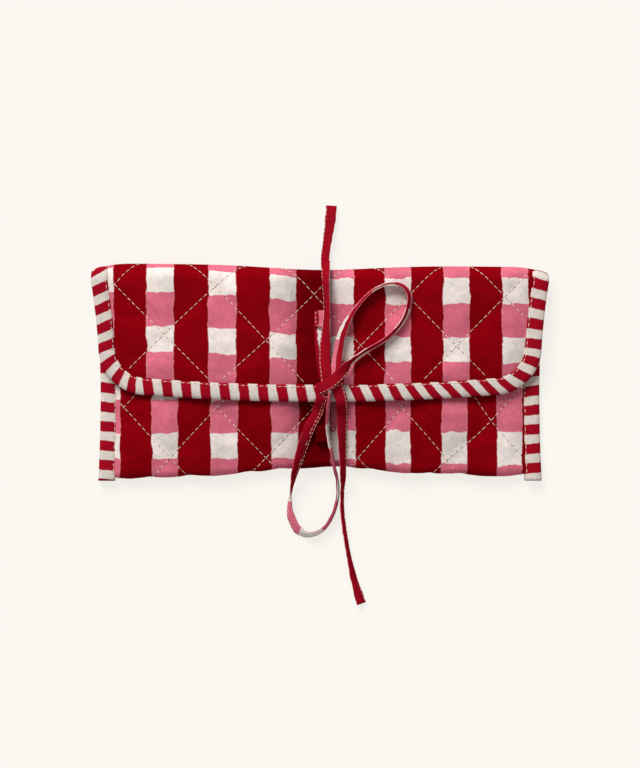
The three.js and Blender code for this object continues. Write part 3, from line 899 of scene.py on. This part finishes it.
# %% Cloth map and quilting
edge_inset = 0.9
puff = 1.7
back_puff = 0.55  # on the back, where the case's weight flattens it
line_spacing = 28.6
line_softness = 4.4
groove = 0.9  # half width of the round bottom of a stitch line
flap_print = (5.2, -14.4)  # from the middle of the case to the middle of a stripe and of a white row
flap_crossing = (0.8, 22.2)  # a crossing of two stitch lines, on the flat cloth
flap_diamond = (40.5, 41)  # from one crossing to the next
crease_width = 1.6
creases = [  # across, along, reach and depth of the creases that are pressed into the flap
    (-79, 22.7, 7, 0.5), (-8, 16, 6, 0.6), (-9, 6, 7, 0.55), (33, 3, 8, 0.3), (-34, -2, 9, 0.3),
]
flap_seed = 1
pocket_seed = 9


def gathered(x, middle, reach):
    return 2.3 * math.exp(-(((x - middle) / reach) ** 2))


def flap_cloth(x, v):
    """Place on the flat cloth, from the red stripe and the white row near the flap's middle."""
    sag = 2.6 * (1 + math.tanh((x + 25) / 28))
    return x + flap_print[0] - gathered(x, -18, 40), v + sag + flap_print[1]


def flap_lines(x, v):
    """Place counted in quilting diamonds; the stitch lines are where sum or difference is whole."""
    return [(place - crossing) / diamond
            for place, crossing, diamond in zip(flap_cloth(x, v), flap_crossing, flap_diamond)]


def quilted(along, up):
    """Zero on a stitch line and nearly one in the middle of a diamond."""
    value = 1
    for line in (along + up, along - up):
        away = math.hypot((line - round(line)) * line_spacing, groove) - groove
        value *= 1 - math.exp(-away / line_softness)
    return value


def crumple(x, v, seed):
    return (0.45 * noise.noise((x * 0.1, v * 0.15, seed))
            + 0.24 * noise.noise((x * 0.26, v * 0.32, seed + 5)))


def creased(x, v):
    return sum(depth * math.exp(-(((x - cx) / reach) ** 2) - ((v - cy) / crease_width) ** 2)
               for cx, cy, reach, depth in creases)


def held_by_tie(x):
    """How far the tie holds the cloth down along the middle of the case."""
    return 0.8 * math.exp(-(((x - 2) / 8.5) ** 2))


def held_by_band(inset):
    """How far the cloth is drawn in under the binding."""
    return 0.95 * (1 - smooth(5.4, 8.4, inset))


def puffed(quilt, inset, wrinkle):
    """Rise of the cover over its plain sheet: drawn in under the binding, puffed away from it."""
    return smooth(6.5, 14, inset) * (puff * quilt + wrinkle) - held_by_band(inset)


def side_inset(x, y):
    """Distance in from the side of the case; round the top fold the sides run straight on."""
    return half_width(min(y, fold_y)) - abs(x)


# %% Flap strip
corner_radius = 20
edge_rise = 2.8
corner_y = flap_low_y + edge_rise + corner_radius
corner_x = half_width(corner_y) - corner_radius


def flap_edge_y(x):
    return flap_low_y + edge_rise * min(1, (x / corner_x) ** 2)


def flap_inset(x, v):
    """Distance in from the flap's outline."""
    if v < corner_y and abs(x) > corner_x:
        return corner_radius - math.hypot(abs(x) - corner_x, corner_y - v)
    return min(side_inset(x, v), v - flap_edge_y(x))


def fold_length(x):
    """Length of cloth from the fold's start to its outer line."""
    return math.pi / 2 * math.sqrt(((top_edge(x) - fold_y) ** 2 + (flap_height(x, fold_y) / 2) ** 2) / 2)


def fold_point(x, angle, depth=0):
    """Point in the top fold that lies depth under its outer face; angle 0 is its outermost line."""
    radius = flap_height(x, fold_y) / 2
    return Vector((x, fold_y + (top_edge(x) - fold_y - depth) * math.cos(angle),
                   radius + (radius - depth) * math.sin(angle)))


def flap_point(x, v, depth):
    """Point of the flap strip that lies depth under its outer face; v runs on round the fold."""
    if v <= fold_y:
        return Vector((x, v, flap_height(x, v) - depth))
    return fold_point(x, math.pi / 2 * (1 - (v - fold_y) / fold_length(x)), depth)


def flap_rise(x, v):
    flat = 1 - smooth(0.1, 0.8, (v - fold_y) / fold_length(x))
    wrinkle = crumple(x, v, flap_seed) - creased(x, v)
    raised = puffed(quilted(*flap_lines(x, v)), flap_inset(x, v), wrinkle)
    return flat * (raised - held_by_tie(x) * smooth(-8, 4, v))


def shares(count):
    """Even shares of a way, from zero up to the last before one."""
    return [i / count for i in range(count)]


def rows(kind, count):
    """That many rows of one stretch of the strip, each with its share of the way along."""
    return [(kind, share) for share in shares(count)]


columns = 152
side_count = round((fold_y - corner_y) / 1.25)
fold_count = 12
flap_rows = rows("corner", 20) + rows("side", side_count) + rows("fold", fold_count) + [("fold", 1)]


def flap_place(k, n):
    """x and strip length v of point k in row n."""
    kind, share = flap_rows[n]
    side = 2 * k / columns - 1
    if kind == "corner":
        angle = math.pi / 2 * (1 - share)
        radius = corner_radius - edge_inset
        row_y = corner_y - radius * math.sin(angle)
        x = side * (corner_x + radius * math.cos(angle))
        bow = edge_rise * (min(1, (x / corner_x) ** 2) - 1) * ((corner_y - row_y) / radius) ** 2
        return x, row_y + bow
    if kind == "side":
        row_y = corner_y + (fold_y - corner_y) * share
        return side * (half_width(row_y) - edge_inset), row_y
    x = side * (half_width(fold_y) - edge_inset)
    return x, fold_y + fold_length(x) * share


# %% Pocket strip
pocket_rows = (rows("fold", fold_count) + rows("back", 62) + rows("turn", 14) + rows("front", 56)
               + [("front", 1)])
front_print_x = 4.4
front_spread = 1.023  # the front's cloth is drawn together a little more than the flap's
front_crossing_x = -0.5
front_diamond = (39.2, 42)
seam_checks = 6  # whole repeats of the print and of the quilting from the flap to the pocket
seam_diamonds = 4


def pocket_spot(x, kind, share):
    """Base point, direction out of the cloth and strip length of a place on the pocket strip."""
    turn_y = bottom_edge(x) + bottom_fold
    radius = front_height(x, turn_y) / 2
    turn_length = math.pi * math.sqrt((radius ** 2 + bottom_fold ** 2) / 2)
    back_length = fold_y - turn_y
    if kind == "front":
        y = turn_y + share * (mouth_y - edge_inset - turn_y)
        return Vector((x, y, front_height(x, y))), Vector((0, 0, 1)), y
    if kind == "turn":
        angle = math.pi * (share - 0.5)
        out = Vector((0, -math.cos(angle), math.sin(angle)))
        here = Vector((x, turn_y - bottom_fold * math.cos(angle), radius + radius * math.sin(angle)))
        return here, out, turn_y - turn_length * (1 - share)
    if kind == "back":
        return (Vector((x, fold_y - share * back_length, 0)), Vector((0, 0, -1)),
                turn_y - turn_length - back_length * (1 - share))
    angle = -math.pi / 2 * share
    out = Vector((0, math.cos(angle), math.sin(angle)))
    return fold_point(x, angle), out, turn_y - turn_length - back_length - fold_length(x) * (1 - share)


def pocket_cloth(x, kind, share):
    """Place on the flat cloth, then in quilting diamonds; up the back it drifts into the flap's."""
    _, _, v = pocket_spot(x, kind, share)
    _, _, low = pocket_spot(x, "turn", 0)
    u = (x + front_print_x - gathered(x, -3, 32)) * front_spread + smooth(62, 76, x)
    stretch = 1 - 0.24 * smooth(-30, 40, x)
    print_start = 30.3 + 1.2 * smooth(10, 40, x)
    line_start = 14.5 + 5.8 * smooth(45, 75, x)
    front_v = max(v, low)
    front = (u, (front_v + print_start) * stretch,
             (u - front_crossing_x) / front_diamond[0], (front_v + line_start) / front_diamond[1])
    if kind in ("front", "turn"):
        return front
    _, _, high = pocket_spot(x, "fold", 0)
    up = (low - v) / (low - high)
    seam_u, seam_q = flap_cloth(x, fold_y + fold_length(x))
    seam_along, seam_up = flap_lines(x, fold_y + fold_length(x))
    seam = (seam_u, seam_q - seam_checks * check_pitch / mm, seam_along, seam_up - seam_diamonds)
    return [a * (1 - up) + b * up for a, b in zip(front, seam)]


def pocket_place(k, n):
    """x, kind, share of point k in row n of the pocket."""
    kind, share = pocket_rows[n]
    side = 2 * k / columns - 1
    middle, _, _ = pocket_spot(0, kind, share)
    return side * (half_width(min(middle.y, fold_y)) - edge_inset), kind, share


def pocket_rise(x, kind, share):
    here, _, v = pocket_spot(x, kind, share)
    inset = side_inset(x, here.y)
    free = 1  # the flap presses on the front that it covers
    if kind == "front":
        inset = min(inset, mouth_y - here.y)
        free = 1 - 0.6 * smooth(flap_low_y - 2, flap_low_y + 5, here.y)
    quilt = quilted(*pocket_cloth(x, kind, share)[2:])
    flat = {"front": 0, "turn": 1 - share, "back": 1, "fold": 1}[kind]
    lying = back_puff * (quilt - 1) * smooth(5, 9, inset) - held_by_band(inset)
    raised = (puffed(quilt * free, inset, crumple(x, v, pocket_seed) * free)
              - held_by_tie(x) * smooth(0, 6, inset) * free)
    rise = raised * (1 - flat) + lying * flat
    return rise * (smooth(0.1, 0.8, share) if kind == "fold" else 1)


# %% [markdown]
# ### Cover, wadding and lining
# The flap's and the pocket's layers are each laid by one function, at their depths. The cover
# carries the whole puff, the wadding most of it, and the lining shows the same stitch lines from
# inside. Solidify gives each cloth its thickness. The pieces meet at the outer line of the top
# fold, where both follow the fold.

# %% Layers of the strip
def thick(mesh, thickness, inside):
    """Gives a layer its thickness away from its seen side, which is inside or outside."""
    if inside:
        bmesh.ops.reverse_faces(mesh, faces=mesh.faces)
    mesh.normal_update()
    bmesh.ops.solidify(mesh, geom=mesh.faces[:], thickness=thickness * mm)
    for edge in mesh.edges:
        edge.smooth = edge.calc_face_angle(0) < 1
    return mesh


def flap_layer(name, finish, depth_of, thickness, inside=False):
    def place(k, n):
        x, v = flap_place(k, n)
        return flap_point(x, v, depth_of(flap_rise(x, v), flap_inset(x, v)))

    mesh = placed(columns, len(flap_rows) - 1, place, lambda k, n: flap_cloth(*flap_place(k, n)))
    return fold_to_flap(piece_of(thick(mesh, thickness, inside), name, finish))


def pocket_layer(name, finish, depth_of, thickness, inside=False):
    def place(k, n):
        x, kind, share = pocket_place(k, n)
        here, out, _ = pocket_spot(x, kind, share)
        return here - out * depth_of(pocket_rise(x, kind, share), side_inset(x, here.y))

    def cloth_place(k, n):
        return pocket_cloth(*pocket_place(k, n))[:2]

    mesh = placed(columns, len(pocket_rows) - 1, place, cloth_place)
    return fold_to_pocket(piece_of(thick(mesh, thickness, inside), name, finish))


def cover_depth(rise, inset):
    return -rise


def wadding_depth(rise, inset):
    return 0.45 - 0.9 * rise


def lining_depth(rise, inset):
    return 1.55 + smooth(6, 12, inset) * (0.4 + (0.2 * rise if rise > 0 else -0.9 * rise))


layers = [  # name, finish, depth, thickness, whether its inner side is seen, slot
    ("cover", print_finish, cover_depth, 0.4, False, "print"),
    ("wadding", wadding_finish, wadding_depth, 0.9, False, "wadding"),
    ("lining", lining_finish, lining_depth, 0.4, True, "lining"),
]
for layer, finish, depth_of, thickness, inside, slot_name in layers:
    flap_cut = flap_layer("flap_" + layer + "_cloth", finish, depth_of, thickness, inside)
    pocket_cut = pocket_layer("pocket_" + layer + "_cloth", finish, depth_of, thickness, inside)
    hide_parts("flap_" + layer, "spine_" + layer)
    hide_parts("pocket_" + layer)
    print(layer, "points:", len(flap_cut.data.vertices), "and", len(pocket_cut.data.vertices))

# %% [markdown]
# ### Quilting stitches
# The stitch lines run both ways across the strip at about 45 degrees. Each line is followed over
# the strip in small steps, across the folds too, and even stitches are laid on it. A short dark
# mark of painted shade lies in the needle hole where each stitch goes down, and shows on the
# pale checks.

# %% Quilting stitches
line_numbers = range(-9, 10)
line_step = 0.7
longest_fold = 16  # no fold and no pocket strip is longer than these
longest_strip = 200
well_inside = 20  # an inset that no binding reaches
stitch_lift = 0.1
lining_lift = -0.06  # the lining is seen from below
mark_size = (0.42, 0.18)
mark_lift = 0.02
mark_before = 0.14  # how far a mark of painted hole shade reaches, before and past the end of its stitch
mark_past = 0.34


def followed(counted, lean, line, steps):
    """(x, v) along one stitch line: where sum or difference of the counted diamonds is that number."""
    for v in steps:
        low, high = -case_half, case_half
        for _ in range(16):
            middle = (low + high) / 2
            along, up = counted(middle, v)
            low, high = (middle, high) if along + lean * up < line else (low, middle)
        if high - low < 0.01 and -case_half + 1 < low < case_half - 1:
            yield low, v


def all_stitches(counted, steps, spot_on):
    """Stitches on every line; spot_on gives the point and the way out of the cloth, or None."""
    ends = []
    for lean in (1, -1):
        for line in line_numbers:
            run = []
            for x, v in followed(counted, lean, line, steps):
                spot = spot_on(x, v)
                if spot is None:
                    ends += along_line(run, quilt_stitch)
                    run = []
                else:
                    run.append(spot)
            ends += along_line(run, quilt_stitch)
    return ends


def on_flap_face(lift, face):
    """Finds points on one face of the flap, that far off it; face turns a rise into a depth."""
    def spot_on(x, v):
        if flap_inset(x, v) < band_reach or v > fold_y + fold_length(x):
            return None
        angle = math.pi / 2 * (1 - max(0, v - fold_y) / fold_length(x))
        out = Vector((0, math.cos(angle), math.sin(angle)))
        return flap_point(x, v, face(flap_rise(x, v)) - lift), out * math.copysign(1, lift)
    return spot_on


def pocket_spot_at(x, v):
    """The kind and share of the pocket strip at a strip length, or None past its end."""
    turn_y = bottom_edge(x) + bottom_fold
    if v >= turn_y:
        return "front", (v - turn_y) / (mouth_y - edge_inset - turn_y)
    over = turn_y - v
    for kind, length in (("turn", turn_y - pocket_spot(x, "turn", 0)[2]), ("back", fold_y - turn_y),
                         ("fold", fold_length(x))):
        if over < length:
            return kind, 1 - over / length
        over -= length
    return None


def pocket_lines(x, v):
    return pocket_cloth(x, *(pocket_spot_at(x, v) or ("fold", 0)))[2:]


def on_pocket_face(x, v):
    found = pocket_spot_at(x, v)
    if found is None:
        return None
    here, out, _ = pocket_spot(x, *found)
    under_mouth_band = found[0] == "front" and here.y > mouth_y - band_reach
    if under_mouth_band or side_inset(x, here.y) < band_reach:
        return None
    return here + out * (pocket_rise(x, *found) + stitch_lift), out


def painted_shade_marks(ends):
    """A short dark mark of painted shade, in the needle hole where each stitch goes down."""
    marks = []
    for start, end, out in ends:
        along = (end - start).normalized()
        lifted = end + out * mark_lift
        marks.append((lifted - along * mark_before, lifted + along * mark_past, out))
    return marks


flap_step_count = int((fold_y - flap_low_y + longest_fold) / line_step)
flap_steps = [flap_low_y + i * line_step for i in range(flap_step_count)]
pocket_steps = [mouth_y - i * line_step for i in range(int(longest_strip / line_step))]
flap_sewing = all_stitches(flap_lines, flap_steps, on_flap_face(stitch_lift, lambda rise: -rise))
inner_sewing = all_stitches(flap_lines, flap_steps,
                            on_flap_face(lining_lift, lambda rise: lining_depth(rise, well_inside)))
pocket_sewing = all_stitches(pocket_lines, pocket_steps, on_pocket_face)
fold_to_flap(stitched("flap_quilting", flap_sewing, thread_finish))
fold_to_flap(stitched("flap_needle_marks", painted_shade_marks(flap_sewing), painted_shade_finish, mark_size))
fold_to_flap(stitched("flap_lining_quilting", inner_sewing, thread_finish))
fold_to_pocket(stitched("pocket_quilting", pocket_sewing, thread_finish))
fold_to_pocket(stitched("pocket_needle_marks", painted_shade_marks(pocket_sewing), painted_shade_finish, mark_size))

# %% [markdown]
# ## Binding
# The binding is a strip folded over the raw edge and topstitched close to its inner side. One
# section, a flat U with a full nose, is carried along the edge: round the flap, up both sides of
# the pocket, round the fold and across the mouth. Its height follows the sheet that it holds.
# Puckers between the stitches keep it from looking like a moulded strip.

# %% Binding
band_section = [  # in from the edge, and depth as a share of the stack plus a fixed depth in mm
    (7.0, 0, 0.42), (6.8, 0, 0.02), (5.2, 0, -0.14), (3.4, 0, -0.18), (1.9, 0, -0.08), (0.8, 0, 0.2),
    (0.2, 0.2, 0.1), (0, 0.5, 0), (0.2, 0.8, -0.1), (0.8, 1, -0.3), (1.9, 1, -0.2), (3.4, 1, -0.2),
    (5.2, 1, -0.2), (6.8, 1, -0.25), (7.0, 1, -0.45), (6.0, 1, -0.65), (1.2, 0.82, -0.1), (1.0, 0.5, 0),
    (1.2, 0.18, 0.1), (6.0, 0, 0.6),
]
seam_inward = 6.2  # the topstitching, in from the edge


def binding(name, edge, follow, *nodes, lean=lambda share: 0, start=0.0):
    """A binding and its seam along an edge, a list of functions of (in, depth), each with its stack.

    The stripes are counted from start, in mm, and lean by a function of the share of the way.
    """
    count = len(band_section)
    lengths = [start]
    for (a, _), (b, _) in zip(edge, edge[1:]):
        lengths.append(lengths[-1] + (b(0, 0) - a(0, 0)).length)
    around = [0]
    for (a, ca, da), (b, cb, db) in zip(band_section, band_section[1:] + band_section[:1]):
        around.append(around[-1] + math.hypot(b - a, 3 * (cb - ca) + db - da))

    def place(k, n):
        inward, share, fixed = band_section[k % count]
        point, stack = edge[n]
        pucker = 0.2 * noise.noise((lengths[n] * 0.5, inward * 0.25, start)) * smooth(0.5, 4, inward)
        wander = 0.3 * noise.noise((lengths[n] * 0.11, 3.7, start)) * smooth(3, 7, inward)
        return point(inward + wander, share * stack + fixed + pucker * (1 - share))

    def cloth_place(k, n):
        inward = band_section[k % count][0]
        slant = lean((lengths[n] - start) / (lengths[-1] - start))
        return lengths[n] + slant * inward, around[k]

    mesh = closed_tube(placed(count, len(edge) - 1, place, cloth_place))
    piece = piece_of(mesh, name, binding_finish)
    line = []
    for point, _ in edge:
        out = point(seam_inward, -1) - point(seam_inward, 0)
        line.append((point(seam_inward, -0.14), out.normalized()))
    seam = stitched(name + "_stitches", along_line(line, band_stitch), thread_finish)
    follow(piece)
    follow(seam)
    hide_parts(*nodes)
    print(name, "length, mm:", round(lengths[-1] - start, 1))


bound_sheet = 3.0  # one sheet and its binding, and two sheets and theirs
bound_seam = 4.5
fold_stops = 8


def flap_side_band(side):
    """Stops down one side of the flap, from the fold to the end of its round corner."""
    def fold_stop(share):
        def point(inward, depth):
            x = side * (half_width(fold_y) - inward)
            return flap_point(x, fold_y + fold_length(x) * share, depth)
        return point

    edge = [fold_stop(1 - share) for share in shares(fold_stops)]
    for share in shares(18):
        y = fold_y - (fold_y - corner_y) * share
        edge.append(flap_stop(Vector((side * half_width(y), y)), Vector((-side, 0))))
    for share in shares(28):
        angle = math.pi / 2 * share
        way = Vector((-side * math.cos(angle), math.sin(angle)))
        edge.append(flap_stop(Vector((side * corner_x, corner_y)) - way * corner_radius, way))
    return edge


def flap_stop(start, way):
    """A stop on the flat of the flap's edge, with the way in from it."""
    def point(inward, depth):
        spot = start + way * inward
        return Vector((spot.x, spot.y, flap_height(spot.x, spot.y) - depth))
    return point


def flap_band():
    """Stops along the flap's edge: from the fold, down the left side, round and up the right side."""
    lower = []
    for i in range(101):
        x = corner_x * (i / 50 - 1)
        way = Vector((-2 * edge_rise * x / corner_x ** 2, 1)).normalized()
        lower.append(flap_stop(Vector((x, flap_edge_y(x))), way))
    edge = flap_side_band(-1) + lower + flap_side_band(1)[::-1]
    return [(point, bound_sheet) for point in edge]


def side_band(side):
    """Stops up one side of the pocket and round the lower half of the fold."""
    def side_stop(y, stack):
        return lambda inward, depth: Vector((side * (half_width(y) - inward), y, stack - depth))

    def fold_stop(angle):
        return lambda inward, depth: fold_point(side * (half_width(fold_y) - inward), angle,
                                                bound_sheet - depth)

    edge = []
    for share in shares(64):
        y = bottom_y + (fold_y - bottom_y) * share
        stack = bound_seam - (bound_seam - bound_sheet) * smooth(mouth_y - 3, fold_y, y)
        edge.append((side_stop(y, stack), stack))
    for share in shares(fold_stops) + [1]:
        edge.append((fold_stop(-math.pi / 2 * (1 - share)), bound_sheet))
    return edge


first_lean = 0.42
lean_turns = [  # by how much the lean changes, and between which shares of the way
    (-0.25, 0.1, 0.3), (0.28, 0.46, 0.54), (0.4, 0.57, 0.7), (-0.9, 0.76, 0.87), (-0.2, 0.88, 0.95),
]


def flap_lean(share):
    """How far the stripes lean along the flap's edge, from its left side round to its right."""
    return first_lean + sum(turn * smooth(low, high, share) for turn, low, high in lean_turns)


def mouth_band():
    """Stops along the mouth, between the two side bindings."""
    def mouth_stop(x):
        def point(inward, depth):
            y = mouth_y - inward
            return Vector((x, y, front_height(x, y) - depth))
        return point

    mouth_half = half_width(mouth_y) - band_reach
    return [(mouth_stop(mouth_half * (i / 60 - 1)), bound_sheet) for i in range(121)]


binding("flap_edge_band", flap_band(), fold_to_flap, "flap_binding", lean=flap_lean)
for word, side, start in (("left", -1, 29.0), ("right", 1, 30.2)):
    binding(word + "_edge_band", side_band(side), fold_to_pocket,
            "side_binding_" + word, "spine_binding_" + word, lean=lambda share: 0.12, start=start)
binding("mouth_edge_band", mouth_band(), on_pocket, "mouth_binding")
